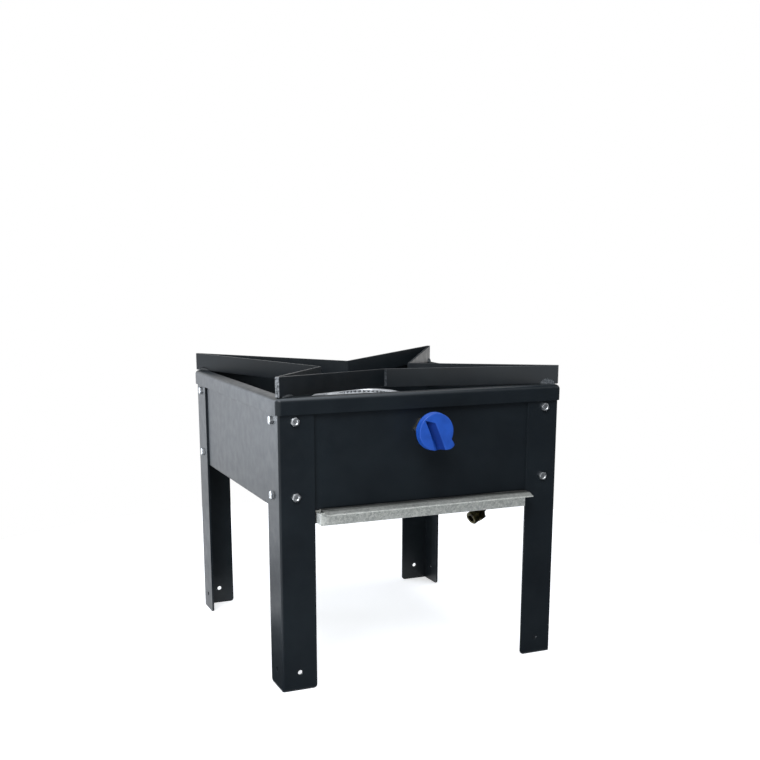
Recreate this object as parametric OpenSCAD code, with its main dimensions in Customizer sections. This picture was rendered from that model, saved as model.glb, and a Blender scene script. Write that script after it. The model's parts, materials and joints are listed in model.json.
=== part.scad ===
// Single burner gas stove: a folded sheet body bolted to four angle legs, a welded star
// of flat bar as pot support, a sliding drip tray, a cast burner and its gas train.
// Millimetres. X runs along the front, Y runs to the back, Z is up.
// The origin is on the floor, at the middle of the footprint.

/* [Body] */
// Width over the outer faces of the legs
body_w = 400; // [340:1:460]
// Depth over the outer faces of the legs
body_d = 403; // [340:1:460]
// Height of the top face of the rim above the floor
rim_top = 380.5; // [360:0.5:420]
// Height of the panels' lower edge above the floor
panel_bottom = 237; // [225:1:250]
// Thickness of the panel sheet
panel_t = 1.2; // [1:0.1:1.5]
// Outer radius of the folds in the panels
panel_fold_r = 2.4; // [2:0.1:3]
// Depth of the panels' inward fold at the top
fold_top = 9; // [6:0.5:10]
// Depth of the inward fold at the foot of the front and rear panels
fold_low = 20; // [18:0.5:22]
// Depth of the inward fold at the foot of the side panels
fold_low_side = 11; // [8:0.5:12]
// Gap left at sheet edges that meet in a corner
edge_gap = 0.3; // [0.2:0.1:0.5]

/* [Legs] */
// Width of each face of the angle
leg_face = 47; // [40:1:47]
// Thickness of the angle
leg_t = 3; // [2:0.5:3]
// Radius of the rounded free corners
leg_corner_r = 5; // [2:0.5:8]
// Diameter of the holes near the foot
foot_hole_d = 6.5; // [4:0.5:9]
// Height of the foot holes above the floor
foot_hole_z = 24; // [12:1:60]
// Distance of the foot holes from the corner of the leg
foot_hole_in = 24; // [14:1:32]

/* [Rim] */
// Thickness of the rim sheet
rim_t = 1.5; // [1:0.1:2]
// How far the rim stands out over the legs
rim_over = 3; // [2.5:0.1:3]
// Height of the rim's skirt
rim_skirt = 21; // [16:1:24]
// Outer radius of the fold along the rim's upper edge
rim_fold_r = 6; // [4:0.5:6]
// Outer radius of the rim's upright corners
rim_corner_r = 7; // [6.5:0.5:9]
// Width of the rim's flat top, measured from its outer edge
rim_flat = 16; // [13:0.5:24]
// Radius of the corners of the opening
rim_open_r = 4; // [2:0.5:10]

/* [Pot support] */
// Height of the flat bar
bar_h = 25; // [18:0.5:32]
// Thickness of the flat bar
bar_t = 3; // [2.5:0.5:4]
// Distance of the arms' ends in from the outer faces of the legs at the sides
star_in_side = 0.5; // [0:0.5:6]
// Distance of the arms' ends in from the outer faces of the legs at front and rear
star_in_front = 2; // [0:0.5:6]
// Distance of the four valleys from the middle
star_valley = 71.3; // [50:0.5:100]
// Width of the flat end where two bars meet at a tip
star_end_w = 5.4; // [4:0.1:5.8]
// How much lower the valleys lie than the tips
star_drop = 8.5; // [0:0.5:10]
// Gap between the bars and the rim at the line where they rest
bar_seat_gap = 0.05; // [0.02:0.01:0.2]
// Size of the weld fillets
weld = 3.4; // [1.5:0.1:3.5]
// Length of each weld between a bar and the rim
weld_len = 16; // [8:1:20]
// Distance of those welds from the arm's end
weld_from_tip = 8; // [8:1:16]

/* [Bolts] */
// Thread diameter of the corner bolts
bolt_d = 6; // [5:0.5:6]
// Size of the bolt heads and nuts across their flats
bolt_af = 10; // [8:0.5:11]
// Height of the bolt heads
bolt_head_h = 4; // [3:0.5:5]
// Height of the nuts
nut_h = 5; // [4:0.5:6]
// Height of the upper bolts above the floor
bolt_z_high = 351; // [300:1:351]
// Height of the lower bolts above the floor
bolt_z_low = 256; // [252:1:280]
// Distance of the bolts in front and rear from the corner of the leg
bolt_in_front = 21.5; // [19:0.5:23]
// Distance of the bolts in the sides from the corner of the leg
bolt_in_side = 26; // [24.5:0.5:32]
// Clearance round a bolt in its hole
hole_gap = 0.3; // [0.1:0.05:0.5]

/* [Drip tray] */
// Gap between the tray's front and the left leg
tray_gap_left = 7.5; // [0.5:0.5:20]
// Gap between the tray's front and the right leg
tray_gap_right = 0.5; // [0.5:0.5:20]
// Gap between the tray and the rear panel's face
tray_gap_rear = 14.3; // [4:0.5:60]
// Height of the tray's underside above the floor
tray_z = 216; // [205:1:218]
// Height of the tray's front
tray_front_h = 22; // [17:0.5:22.5]
// Height of the tray's side and rear walls
tray_wall_h = 14.5; // [8:0.5:16]
// Thickness of the tray sheet
tray_t = 1; // [0.8:0.1:1.5]
// Width of the pull lip's flat part, next to the fold
lip_flat = 10.5; // [6:0.5:16]
// Slope of that part
lip_slope = 2; // [0:1:10]
// Width of the lip's nose, bent further down
lip_nose = 10.5; // [4:0.5:14]
// Bend between the flat part and the nose
lip_bend = 19; // [0:1:40]
// How far each side of the pan is set in behind the front
pan_set_in = 1; // [0.5:0.5:3]

/* [Runners] */
// Thickness of the runner sheet
runner_t = 1; // [0.8:0.1:1.5]
// Width of the ledge under the tray
runner_ledge = 12; // [8:1:20]
// Width of the runner's upper flange
runner_flange = 14; // [12:1:15]
// Gap between the tray and the runner's upright wall
runner_gap = 1; // [0.5:0.1:1.5]
// Distance of the runner's wall from the front of the panel
runner_start = 18; // [14:1:40]
// Diameter of the rivets
rivet_d = 4; // [3:0.2:5]

/* [Knob] */
// Largest diameter of the knob
knob_d = 49; // [40:0.5:56]
// Depth of the knob's disc
knob_depth = 11.5; // [9:0.5:16]
// Distance of the knob's face from the front panel
knob_reach = 36.5; // [32:0.5:45]
// Diameter of the knob's hub
knob_hub_d = 20; // [14:1:26]
// Depth of the finger groove
groove_depth = 6.5; // [3:0.5:7]
// Direction of the finger groove in the face
groove_turn = -71; // [-90:1:0]
// Direction of the pointer nose in the face
nose_turn = -38; // [-60:1:0]
// Distance of the pointer nose's tip from the axis
nose_reach = 29.5; // [26:0.5:34]

/* [Gas valve] */
// Height of the valve's axis above the floor
valve_z = 332; // [325:0.5:335]
// Diameter of the threaded collar in the front panel
collar_d = 18; // [14:1:22]
// Size of the locknut across its flats
locknut_af = 27; // [22:0.5:30]
// Thickness of the locknut
locknut_h = 4.5; // [3:0.5:6]
// Diameter of the valve's barrel
barrel_d = 26; // [22:1:30]
// Length of the barrel behind the panel
barrel_len = 40; // [36:1:46]
// Diameter of the stem
stem_d = 8; // [6:0.5:10]
// Running clearance round the stem and under the air shutter
run_gap = 0.05; // [0.03:0.01:0.08]
// Diameter of the side inlet boss
inlet_boss_d = 16; // [14:1:18]
// Distance of the side inlet's face from the valve's axis
inlet_boss_reach = 26; // [20:1:34]

/* [Supply pipe] */
// Outer diameter of the pipe
pipe_d = 10; // [8:0.5:11]
// Bore of the pipe
pipe_bore = 8; // [5:0.5:8]
// Distance of the upright pipe's axis from the right panel's inner face
pipe_in = 18.3; // [17.5:0.1:22]
// Distance of the upright pipe's axis behind the front panel
pipe_back = 153.5; // [110:0.5:240]
// Radius of the wide bends
bend_r = 20; // [16:1:30]
// Radius of the last bend, above the inlet fitting
end_bend_r = 12; // [10:1:15]
// Height at which the last bend starts
end_bend_z = 185; // [170:1:200]
// Slope of the inlet fitting below level
fitting_slope = 26; // [20:1:60]
// Turn of the inlet fitting from straight across toward the front
fitting_turn = 11.5; // [0:0.5:30]
// Size of the fitting's hexagon across its flats
fitting_af = 22; // [17:0.5:24]
// Diameter of the fitting's threaded end
fitting_d = 20; // [16:0.5:21]
// Length of the threaded end
fitting_len = 9; // [7:0.5:14]
// Bore of the threaded end
fitting_bore = 12; // [10:0.5:14]

/* [Burner] */
// Outer diameter of the burner
burner_d = 158; // [140:1:170]
// Height of the ported ring's top above the floor
ring_top = 352.5; // [350:0.5:358]
// Width of the ported ring
ring_w = 11; // [8:0.5:14]
// Height of the ring above the joint with the bowl
ring_h = 6; // [5:0.5:8]
// Thickness of the head's plate inside the ring
head_plate = 3; // [2.5:0.5:4]
// Small chamfers on the burner's castings
cast_edge = 1; // [0.5:0.1:1.5]
// Diameter of the centre cap
cap_d = 114; // [90:1:120]
// Height of the cap's edge above the floor
cap_edge_z = 354.5; // [352:0.5:358]
// Rise of the cap from its edge to its flat top
cap_crown = 3.5; // [2:0.5:6]
// Diameter of the round well in the cap
well_d = 76; // [60:1:84]
// Depth of the well
well_depth = 5; // [3:0.5:5.5]
// Number of slots in the ring
ring_slots = 60; // [24:4:72]
// Number of slots in the cap's edge
cap_slots = 44; // [20:4:52]
// Width of the slots
slot_w = 1.8; // [1.2:0.1:2.4]
// Depth of the slots
slot_depth = 2.6; // [1.5:0.1:3]
// Number of ports in the well's wall
cap_ports = 36; // [12:2:40]
// Width of those ports
port_w = 3.4; // [2:0.1:4]
// Height of those ports
port_h = 2.3; // [1.5:0.1:3]
// Wall of the castings
cast_wall = 4; // [3:0.5:5]
// Outer diameter of the mixing tube
tube_d = 32; // [28:1:36]
// Distance from the valve's outlet to the mixing tube's mouth
mouth_gap = 20.3; // [18:0.1:26]
// Diameter of the mouth plate and the air shutter
mouth_d = 42; // [38:1:48]
// Diameter of the air holes
air_hole_d = 9; // [6:0.5:9.5]
// Thickness of the air shutter
shutter_t = 1.5; // [1:0.1:2]

/* [Burner bar] */
// Width of the bar under the burner
cross_w = 30; // [24:1:40]
// Thickness of the bar under the burner
cross_t = 4; // [3:0.5:5]
// Height of the bar's turned-up ends
cross_end_h = 26; // [15:1:40]
// Height of the feet under the burner's bowl
foot_h = 6; // [5:0.5:10]
// Distance between the two burner screws
foot_pitch = 44; // [36:1:60]

/* [Hidden] */
$fn = 48;

steel_black = "#24282b";
zinc = "#b9bdbf";
galvanised = "#a3a9a8";
brass = "#b08d4a";
silver = "#c3c6c8";
blue = "#2450b0";

half_w = body_w / 2;
half_d = body_d / 2;
// inner faces of the legs, which the panels bear against
in_w = half_w - leg_t;
in_d = half_d - leg_t;
rim_low = rim_top - rim_skirt;
rim_under = rim_top - rim_t;
panel_top = rim_under;
panel_h = panel_top - panel_bottom;

// the legs end below the rim's fold, which turns in over them
fold_in_r = rim_fold_r - rim_t;
corner_reach = sqrt(2) * (rim_corner_r - rim_over - leg_t) + leg_t - rim_corner_r + rim_fold_r;
leg_reach = max(rim_fold_r - rim_over, corner_reach);
leg_top = rim_top - rim_fold_r + sqrt(max(0, fold_in_r * fold_in_r - leg_reach * leg_reach)) - 0.2;

// the arms' ends, and the point inside each arm where its two bars meet
tip_x = half_w - star_in_side;
tip_y = half_d - star_in_front;
end_half = star_end_w / 2 / sqrt(2);
apex = inner_apex(tip_x, tip_y);
open_half_w = half_w + rim_over - rim_flat;
open_half_d = half_d + rim_over - rim_flat;
// share of a bar's length at which it comes to rest on the rim's opening
seat_front = (open_half_d - star_valley) / bar_run(tip_x, tip_y)[1];
seat_side = (open_half_w - star_valley) / bar_run(tip_y, tip_x)[1];
seat_share = min(seat_front, seat_side, open_half_w / bar_run(tip_x, tip_y)[0]);
bar_low_valley = rim_top + bar_seat_gap - seat_share * star_drop;

hole_d = bolt_d + 2 * hole_gap;
screw_hole_d = bolt_d + 2 * run_gap;
bolt_len = leg_t + panel_t + nut_h + 2;
head_r = bolt_af / 2 / cos(30);

tray_w = body_w - 2 * leg_face - tray_gap_left - tray_gap_right;
tray_x = (tray_gap_left - tray_gap_right) / 2;
pan_w = tray_w - 2 * pan_set_in;
front_y = -half_d - 0.5;
pan_y = front_y + tray_t;
tray_len = in_d - panel_t - tray_gap_rear - pan_y;
// distance of each runner's wall from the tray's middle
runner_x = pan_w / 2 + runner_gap;
runner_top = panel_bottom;
rivet_in = runner_start / 2;

knob_y = -in_d - knob_reach;
knob_back_y = knob_y + knob_depth;
hub_y = -in_d - locknut_h - 2.5;
panel_in_y = -in_d + panel_t;
collar_y = -in_d - locknut_h - 1;
barrel_y = panel_in_y + barrel_len;
inlet_y = panel_in_y + barrel_len * 0.6;
stem_y = panel_in_y + barrel_len * 0.8;
outlet_y = barrel_y + 8;
injector_hex_h = 6;
union_x = inlet_boss_reach;
pipe_x = in_w - panel_t - pipe_in;
pipe_y = -in_d + pipe_back;
union_len = 14;

burner_r = burner_d / 2;
cap_r = cap_d / 2;
ring_in_r = burner_r - ring_w;
head_z = ring_top - ring_h;
cap_top = cap_edge_z + cap_crown;
well_r = well_d / 2;
well_z = cap_top - well_depth;
port_z = well_z + 0.8;
port_depth = 7;
bowl_floor = valve_z - tube_d / 2 - 2;
foot_z = bowl_floor - foot_h;
screw_depth = foot_h;
mouth_y = outlet_y + mouth_gap;
hub_r = mouth_d / 2 - air_hole_d - 4.5;
air_ring_r = (hub_r + mouth_d / 2) / 2;
plate_t = 3.5;
shutter_gap = 0.2;
jet_y = mouth_y - 1;

module round_rect(w, h, r) {
    translate([r, 0]) square([w - 2 * r, h]);
    translate([0, r]) square([w, h - 2 * r]);
    for (x = [r, w - r], y = [r, h - r]) {
        translate([x, y]) circle(r = r);
    }
}

// a rectangle with only its two far corners rounded, in plan from the origin
module tongue(w, h, r) {
    square([w, h - r]);
    translate([0, h - r]) square([w - r, r]);
    translate([w - r, h - r]) circle(r = r);
}

// a cylinder along Y between two places
module rod_y(y0, y1, r, r_end = 0) {
    translate([0, y0, 0])
        rotate([-90, 0, 0])
            cylinder(h = y1 - y0, r1 = r, r2 = r_end > 0 ? r_end : r);
}

module hex_prism(af, h) {
    cylinder(h = h, r = af / 2 / cos(30), $fn = 6);
}

// puts a piece at each of the sixteen corner bolt places, pointing out of the body
module at_bolts() {
    for (sx = [-1, 1], z = [bolt_z_low, bolt_z_high]) {
        for (back = [0, 1]) {
            rotate([0, 0, 180 * back])
                translate([sx * (half_w - bolt_in_front), -half_d, z])
                    rotate([90, 0, 0])
                        children();
            rotate([0, 0, 180 * back])
                translate([-half_w, sx * (half_d - bolt_in_side), z])
                    rotate([0, -90, 0])
                        children();
        }
    }
}

module bolt_holes(reach) {
    at_bolts()
        translate([0, 0, -reach])
            cylinder(h = reach + 1, d = hole_d);
}

// the front left leg; the others are mirrored from it
module leg_shape() {
    difference() {
        union() {
            translate([-half_w + leg_t, -half_d + leg_t, 0])
                rotate([90, 0, 0])
                    linear_extrude(leg_t)
                        leg_face_plan();
            translate([-half_w, -half_d + leg_t, 0])
                rotate([90, 0, 90])
                    linear_extrude(leg_t)
                        leg_face_plan();
            intersection() {
                translate([-half_w + leg_t, -half_d + leg_t, 0])
                    cylinder(h = leg_top, r = leg_t);
                translate([-half_w, -half_d, 0])
                    cube([leg_t, leg_t, leg_top]);
            }
        }
        bolt_holes(leg_t + 1);
        translate([-half_w + foot_hole_in, -half_d - 1, foot_hole_z])
            rotate([-90, 0, 0])
                cylinder(h = leg_t + 2, d = foot_hole_d);
        translate([-half_w - 1, -half_d + foot_hole_in, foot_hole_z])
            rotate([0, 90, 0])
                cylinder(h = leg_t + 2, d = foot_hole_d);
    }
}

module leg_face_plan() {
    w = leg_face - leg_t;
    difference() {
        square([w, leg_top]);
        translate([w - leg_corner_r, 0]) corner_cut();
        translate([w - leg_corner_r, leg_top]) mirror([0, 1]) corner_cut();
    }
}

// what is cut off a lower right corner to round it
module corner_cut() {
    difference() {
        square(leg_corner_r);
        translate([0, leg_corner_r]) circle(r = leg_corner_r);
    }
}

module leg_front_left() {
    color(steel_black) leg_shape();
}

module leg_front_right() {
    color(steel_black) mirror([1, 0, 0]) leg_shape();
}

module leg_rear_left() {
    color(steel_black) mirror([0, 1, 0]) leg_shape();
}

module leg_rear_right() {
    color(steel_black) mirror([1, 0, 0]) mirror([0, 1, 0]) leg_shape();
}

// section of a panel: its outer face is at x = 0, its folds turn towards +x
module panel_section(top_fold, low_fold) {
    reach = 2 * max(top_fold, low_fold) + 2 * panel_fold_r;
    intersection() {
        difference() {
            round_rect(reach, panel_h, panel_fold_r);
            translate([panel_t, panel_t])
                round_rect(reach - 2 * panel_t, panel_h - 2 * panel_t, panel_fold_r - panel_t);
        }
        union() {
            square([low_fold, panel_h / 2]);
            translate([0, panel_h / 2]) square([top_fold, panel_h / 2]);
        }
    }
}

// a panel whose outer face is at y = 0, with its folds towards +y, centred on x = 0
module panel(plate_w, top_w, low_w, top_fold, low_fold) {
    intersection() {
        translate([plate_w / 2, 0, panel_bottom])
            rotate([90, 0, -90])
                mirror([1, 0, 0])
                    linear_extrude(plate_w)
                        panel_section(top_fold, low_fold);
        union() {
            translate([-plate_w / 2 - 1, -1, panel_bottom + panel_fold_r])
                cube([plate_w + 2, panel_t + 1, panel_h - 2 * panel_fold_r]);
            translate([-top_w / 2, -1, panel_top - panel_fold_r - 1])
                cube([top_w, top_fold + 2, panel_fold_r + 2]);
            translate([-low_w / 2, -1, panel_bottom - 1])
                cube([low_w, low_fold + 2, panel_fold_r + 2]);
        }
    }
}

module rivet_holes() {
    at_rivets()
        translate([0, 0, -1])
            cylinder(h = panel_t + runner_t + 2, d = rivet_d + 0.1);
}

// the four rivets that hang the runners from the front and rear panels
module at_rivets() {
    for (side = [-1, 1], end = [-1, 1]) {
        translate([tray_x + side * (runner_x + runner_flange / 2 + runner_t / 2),
                end * (in_d - rivet_in), panel_bottom - runner_t])
            children();
    }
}

module end_panel_shape() {
    inside = in_w - panel_t - edge_gap;
    difference() {
        translate([0, -in_d, 0])
            panel(2 * (in_w - edge_gap), 2 * inside, 2 * inside, fold_top, fold_low);
        bolt_holes(leg_t + panel_t + 1);
        rivet_holes();
    }
}

module side_panel_shape() {
    plate = in_d - panel_t - edge_gap;
    difference() {
        translate([-in_w, 0, 0])
            rotate([0, 0, -90])
                panel(2 * plate, 2 * (in_d - fold_top - edge_gap),
                    2 * (in_d - fold_low - edge_gap), fold_top, fold_low_side);
        bolt_holes(leg_t + panel_t + 1);
    }
}

module front_panel() {
    color(steel_black)
        difference() {
            end_panel_shape();
            translate([0, 0, valve_z]) rod_y(-in_d - 1, panel_in_y + 1, collar_d / 2 + hole_gap);
        }
}

module rear_panel() {
    color(steel_black) mirror([0, 1, 0]) end_panel_shape();
}

module left_panel() {
    color(steel_black) side_panel_shape();
}

module right_panel() {
    color(steel_black) mirror([1, 0, 0]) side_panel_shape();
}

// quarter ring of the rim's fold, with the skirt's wall under it; x runs outwards
module rim_edge_section(shift) {
    translate([shift, rim_top - rim_fold_r])
        intersection() {
            difference() {
                circle(r = rim_fold_r);
                circle(r = fold_in_r);
            }
            square(rim_fold_r);
        }
    translate([shift + fold_in_r, rim_low]) square([rim_t, rim_skirt - rim_fold_r]);
}

module top_rim() {
    out_w = half_w + rim_over;
    out_d = half_d + rim_over;
    flat_r = rim_corner_r - rim_fold_r;
    color(steel_black) {
        translate([0, 0, rim_under])
            linear_extrude(rim_t)
                difference() {
                    translate([-out_w + rim_fold_r, -out_d + rim_fold_r])
                        round_rect(2 * (out_w - rim_fold_r), 2 * (out_d - rim_fold_r), flat_r);
                    translate([-open_half_w, -open_half_d])
                        round_rect(2 * open_half_w, 2 * open_half_d, rim_open_r);
                }
        for (turn = [0, 180]) {
            rotate([0, 0, turn]) {
                rim_side(out_d, out_w);
                rotate([0, 0, 90]) rim_side(out_w, out_d);
                rim_corner(out_w, out_d);
                mirror([1, 0, 0]) rim_corner(out_w, out_d);
            }
        }
    }
}

// one straight side of the rim, along X at the front
module rim_side(out, along) {
    translate([along - rim_corner_r, -out + rim_fold_r, 0])
        rotate([90, 0, -90])
            linear_extrude(2 * (along - rim_corner_r))
                rim_edge_section(0);
}

module rim_corner(out_w, out_d) {
    translate([out_w - rim_corner_r, out_d - rim_corner_r, 0])
        rotate_extrude(angle = 90)
            rim_edge_section(rim_corner_r - rim_fold_r);
}

// how far a bar's outer face runs along and away from its valley's side
function bar_run(along, away) = [along - end_half, away + end_half - star_valley];

function bar_slope(along, away) = bar_run(along, away)[1] / bar_run(along, away)[0];

// distance of the valley's inner corner from the middle
function inner_valley(along, away) = star_valley - bar_t * norm([1, bar_slope(along, away)]);

// where the inner faces of an arm's two bars meet
function inner_apex(x, y) =
    let(m = bar_slope(x, y), n = bar_slope(y, x))
    let(a = (inner_valley(y, x) + n * inner_valley(x, y)) / (1 - m * n))
    [a, inner_valley(x, y) + m * a];

// plan of the bar from the front valley to the front left end, or, with the two reaches
// and the meeting point turned over, of the bar that it meets there
module bar_plan(along, away, meet) {
    run = bar_run(along, away);
    polygon([
        [0, -star_valley],
        [-run[0], -star_valley - run[1]],
        [-along, -away],
        [-meet[0], -meet[1]],
        [0, -inner_valley(along, away)]
    ]);
}

// puts a piece on a bar's outer face: x along the bar, y into it, z up from the floor
module on_bar(along, away) {
    run = bar_run(along, away);
    translate([0, -star_valley, 0])
        rotate([0, 0, 180 + atan2(run[1], run[0])])
            mirror([0, 1, 0])
                children();
}

module bar_shape(along, away, meet) {
    color(steel_black)
        intersection() {
            translate([0, 0, rim_top - 2 * star_drop - 1])
                linear_extrude(bar_h + 4 * star_drop + 2)
                    bar_plan(along, away, meet);
            on_bar(along, away)
                translate([0, 2 * bar_t, 0])
                    rotate([90, 0, 0])
                        linear_extrude(4 * bar_t)
                            bar_elevation(norm(bar_run(along, away)));
        }
}

// side view of a bar, from in front of its valley to past its end; it climbs to the end
module bar_elevation(len) {
    over = len / 10;
    polygon([
        [-over, bar_low_valley - star_drop * over / len],
        [len + over, bar_low_valley + star_drop * (len + over) / len],
        [len + over, bar_low_valley + star_drop * (len + over) / len + bar_h],
        [-over, bar_low_valley - star_drop * over / len + bar_h]
    ]);
}

module front_bar() {
    bar_shape(tip_x, tip_y, apex);
}

module side_bar() {
    mirror([1, -1, 0]) bar_shape(tip_y, tip_x, [apex[1], apex[0]]);
}

module star_bar_front_left() {
    front_bar();
}

module star_bar_front_right() {
    mirror([1, 0, 0]) front_bar();
}

module star_bar_rear_left() {
    mirror([0, 1, 0]) front_bar();
}

module star_bar_rear_right() {
    mirror([1, 0, 0]) mirror([0, 1, 0]) front_bar();
}

module star_bar_left_front() {
    side_bar();
}

module star_bar_left_rear() {
    mirror([0, 1, 0]) side_bar();
}

module star_bar_right_front() {
    mirror([1, 0, 0]) side_bar();
}

module star_bar_right_rear() {
    mirror([1, 0, 0]) mirror([0, 1, 0]) side_bar();
}

// the upright seams in the four valleys
module star_welds() {
    color(steel_black)
        for (turn = [0, 180]) {
            rotate([0, 0, turn]) {
                valley_seam(bar_slope(tip_x, tip_y));
                mirror([1, -1, 0]) valley_seam(bar_slope(tip_y, tip_x));
            }
        }
}

module valley_seam(slope) {
    seam = weld * 0.55;
    translate([0, -star_valley, bar_low_valley + 1])
        linear_extrude(bar_h - 2)
            polygon([[0, 0], [-seam, -seam * slope], [seam, -seam * slope]]);
}

// the fillets that tie each bar to the rim near its end
module rim_welds() {
    color(steel_black)
        for (turn = [0, 180], side = [0, 1]) {
            rotate([0, 0, turn])
                mirror([side, 0, 0]) {
                    rim_fillet(tip_x, tip_y);
                    mirror([1, -1, 0]) rim_fillet(tip_y, tip_x);
                }
        }
}

module rim_fillet(along, away) {
    len = norm(bar_run(along, away));
    on_bar(along, away)
        translate([len - weld_from_tip - weld_len, 0, rim_top])
            rotate([90, 0, 90])
                linear_extrude(weld_len)
                    polygon([[0, 0], [0, weld + 1], [-weld, 0]]);
}

module corner_bolts() {
    color(zinc)
        at_bolts() {
            hex_prism(bolt_af, bolt_head_h - 0.5);
            translate([0, 0, bolt_head_h - 0.5]) cylinder(h = 0.5, d = bolt_af * 0.92);
            translate([0, 0, -bolt_len]) cylinder(h = bolt_len, d = bolt_d);
        }
}

module corner_nuts() {
    color(zinc)
        at_bolts()
            translate([0, 0, -leg_t - panel_t - nut_h])
                difference() {
                    hex_prism(bolt_af, nut_h);
                    translate([0, 0, -1]) cylinder(h = nut_h + 2, d = bolt_d + 0.1);
                }
}

// section through the tray's front: the wall, its fold and the lip with its nose; x runs back
module tray_front_section() {
    bend = 2 * tray_t;
    square([tray_t, tray_front_h - bend]);
    translate([-bend + tray_t, tray_front_h - bend])
        intersection() {
            difference() {
                circle(r = bend);
                circle(r = bend - tray_t);
            }
            union() {
                square(2 * bend);
                rotate(lip_slope) square(2 * bend);
            }
        }
    translate([-bend + tray_t, tray_front_h - bend])
        rotate(lip_slope)
            translate([-lip_flat, bend]) {
                translate([0, -tray_t]) square([lip_flat, tray_t]);
                rotate(lip_bend) translate([-lip_nose, -tray_t]) square([lip_nose, tray_t]);
            }
}

module drip_tray() {
    color(galvanised)
        translate([tray_x, 0, tray_z]) {
            translate([-tray_w / 2, front_y, 0])
                rotate([90, 0, 90])
                    linear_extrude(tray_w)
                        tray_front_section();
            difference() {
                translate([-pan_w / 2, pan_y, 0])
                    cube([pan_w, tray_len, tray_wall_h]);
                translate([-pan_w / 2 + tray_t, pan_y - 1, tray_t])
                    cube([pan_w - 2 * tray_t, tray_len - tray_t + 1, tray_wall_h]);
            }
        }
}

// the runner to the right of the tray, in the tray's own X
module runner_shape() {
    wall_z = tray_z - runner_t;
    difference() {
        union() {
            translate([runner_x - runner_ledge, -in_d + runner_start, wall_z])
                cube([runner_ledge + runner_t, 2 * in_d - 2 * runner_start, runner_t]);
            translate([runner_x, -in_d + runner_start, wall_z])
                cube([runner_t, 2 * in_d - 2 * runner_start, runner_top - wall_z]);
            translate([runner_x, -in_d + panel_t + edge_gap, runner_top - runner_t])
                cube([runner_flange, 2 * (in_d - panel_t - edge_gap), runner_t]);
        }
        translate([-tray_x, 0, 0]) rivet_holes();
    }
}

module runner_right() {
    color(galvanised) translate([tray_x, 0, 0]) runner_shape();
}

module runner_left() {
    color(galvanised) translate([tray_x, 0, 0]) mirror([1, 0, 0]) runner_shape();
}

module runner_rivets() {
    color(zinc)
        at_rivets() {
            cylinder(h = panel_t + runner_t + 1, d = rivet_d);
            translate([0, 0, -1.2]) cylinder(h = 1.2, d1 = rivet_d + 1.5, d2 = rivet_d * 2);
            translate([0, 0, panel_t + runner_t]) cylinder(h = 1.6, d = rivet_d + 1.6);
        }
}

// the knob with its axis on Z and its face up, before it is turned to the front
module knob_shape() {
    r = knob_d / 2;
    hub_len = hub_y - knob_back_y;
    scoop_r = 16;
    scoop_z = knob_depth - groove_depth + scoop_r;
    scoop_run = 13;
    difference() {
        union() {
            rotate_extrude()
                polygon([
                    [0, 0], [r - 0.8, 0], [r, 0.8], [r, 3], [r - 0.5, 3.6],
                    [r - 0.9, knob_depth - 1.6], [r - 2.4, knob_depth], [0, knob_depth]
                ]);
            translate([0, 0, -hub_len]) cylinder(h = hub_len + 1, d = knob_hub_d);
            linear_extrude(knob_depth - 0.8) nose_plan(r);
        }
        rotate([0, 0, groove_turn])
            intersection() {
                translate([-3, 0, scoop_z]) {
                    rotate([0, 90, 0]) cylinder(h = knob_d, r = scoop_r);
                    sphere(r = scoop_r);
                }
                translate([-scoop_run - 3, -knob_d, 1])
                    cube([2 * knob_d, knob_d, knob_depth]);
            }
        translate([0, 0, -hub_len - 1])
            cylinder(h = hub_len + 4, d = stem_d + 2 * run_gap);
    }
}

module nose_plan(r) {
    polygon([
        for (p = [[r - 2, 18], [nose_reach, 4], [nose_reach, -3], [nose_reach - 2.5, -18],
                [r - 0.3, -34], [r * 0.6, -10]])
            [p[0] * cos(nose_turn + p[1]), p[0] * sin(nose_turn + p[1])]
    ]);
}

module knob() {
    color(blue)
        translate([0, knob_back_y, valve_z])
            rotate([90, 0, 0])
                knob_shape();
}

module valve_stem() {
    color(brass)
        translate([0, 0, valve_z])
            rod_y(knob_back_y - 2.5, stem_y - 0.3, stem_d / 2);
}

module valve_body() {
    color(brass)
        translate([0, 0, valve_z])
            difference() {
                union() {
                    rod_y(collar_y, panel_in_y + 1, collar_d / 2);
                    rod_y(panel_in_y, panel_in_y + 4, barrel_d / 2 + 2);
                    rod_y(panel_in_y + 3, barrel_y - 6, barrel_d / 2);
                    rod_y(barrel_y - 6, barrel_y, barrel_d / 2, barrel_d / 2 - 3);
                    rod_y(barrel_y - 1, outlet_y, 8);
                    translate([0, inlet_y, 0])
                        rotate([0, 90, 0])
                            cylinder(h = inlet_boss_reach, d = inlet_boss_d);
                }
                rod_y(collar_y - 1, stem_y, stem_d / 2 + run_gap);
                rod_y(stem_y - 2, outlet_y + 1, 3);
                translate([0, inlet_y, 0])
                    rotate([0, 90, 0])
                        cylinder(h = inlet_boss_reach + 1, r = 3);
            }
}

module valve_locknut() {
    color(brass)
        translate([0, -in_d, valve_z])
            rotate([90, 0, 0])
                difference() {
                    union() {
                        hex_prism(locknut_af, locknut_h - 1);
                        cylinder(h = locknut_h, d = locknut_af - 1);
                    }
                    translate([0, 0, -1])
                        cylinder(h = locknut_h + 2, d = collar_d + 2 * run_gap);
                }
}

module injector() {
    color(brass)
        translate([0, 0, valve_z])
            difference() {
                union() {
                    translate([0, outlet_y, 0])
                        rotate([-90, 0, 0])
                            hex_prism(13, injector_hex_h);
                    rod_y(outlet_y + injector_hex_h, jet_y - 4, 4.5);
                    rod_y(jet_y - 4, jet_y, 4.5, 3);
                }
                rod_y(outlet_y - 1, jet_y - 4, 2.5);
                rod_y(jet_y - 5, jet_y + 1, 0.75);
            }
}

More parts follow.
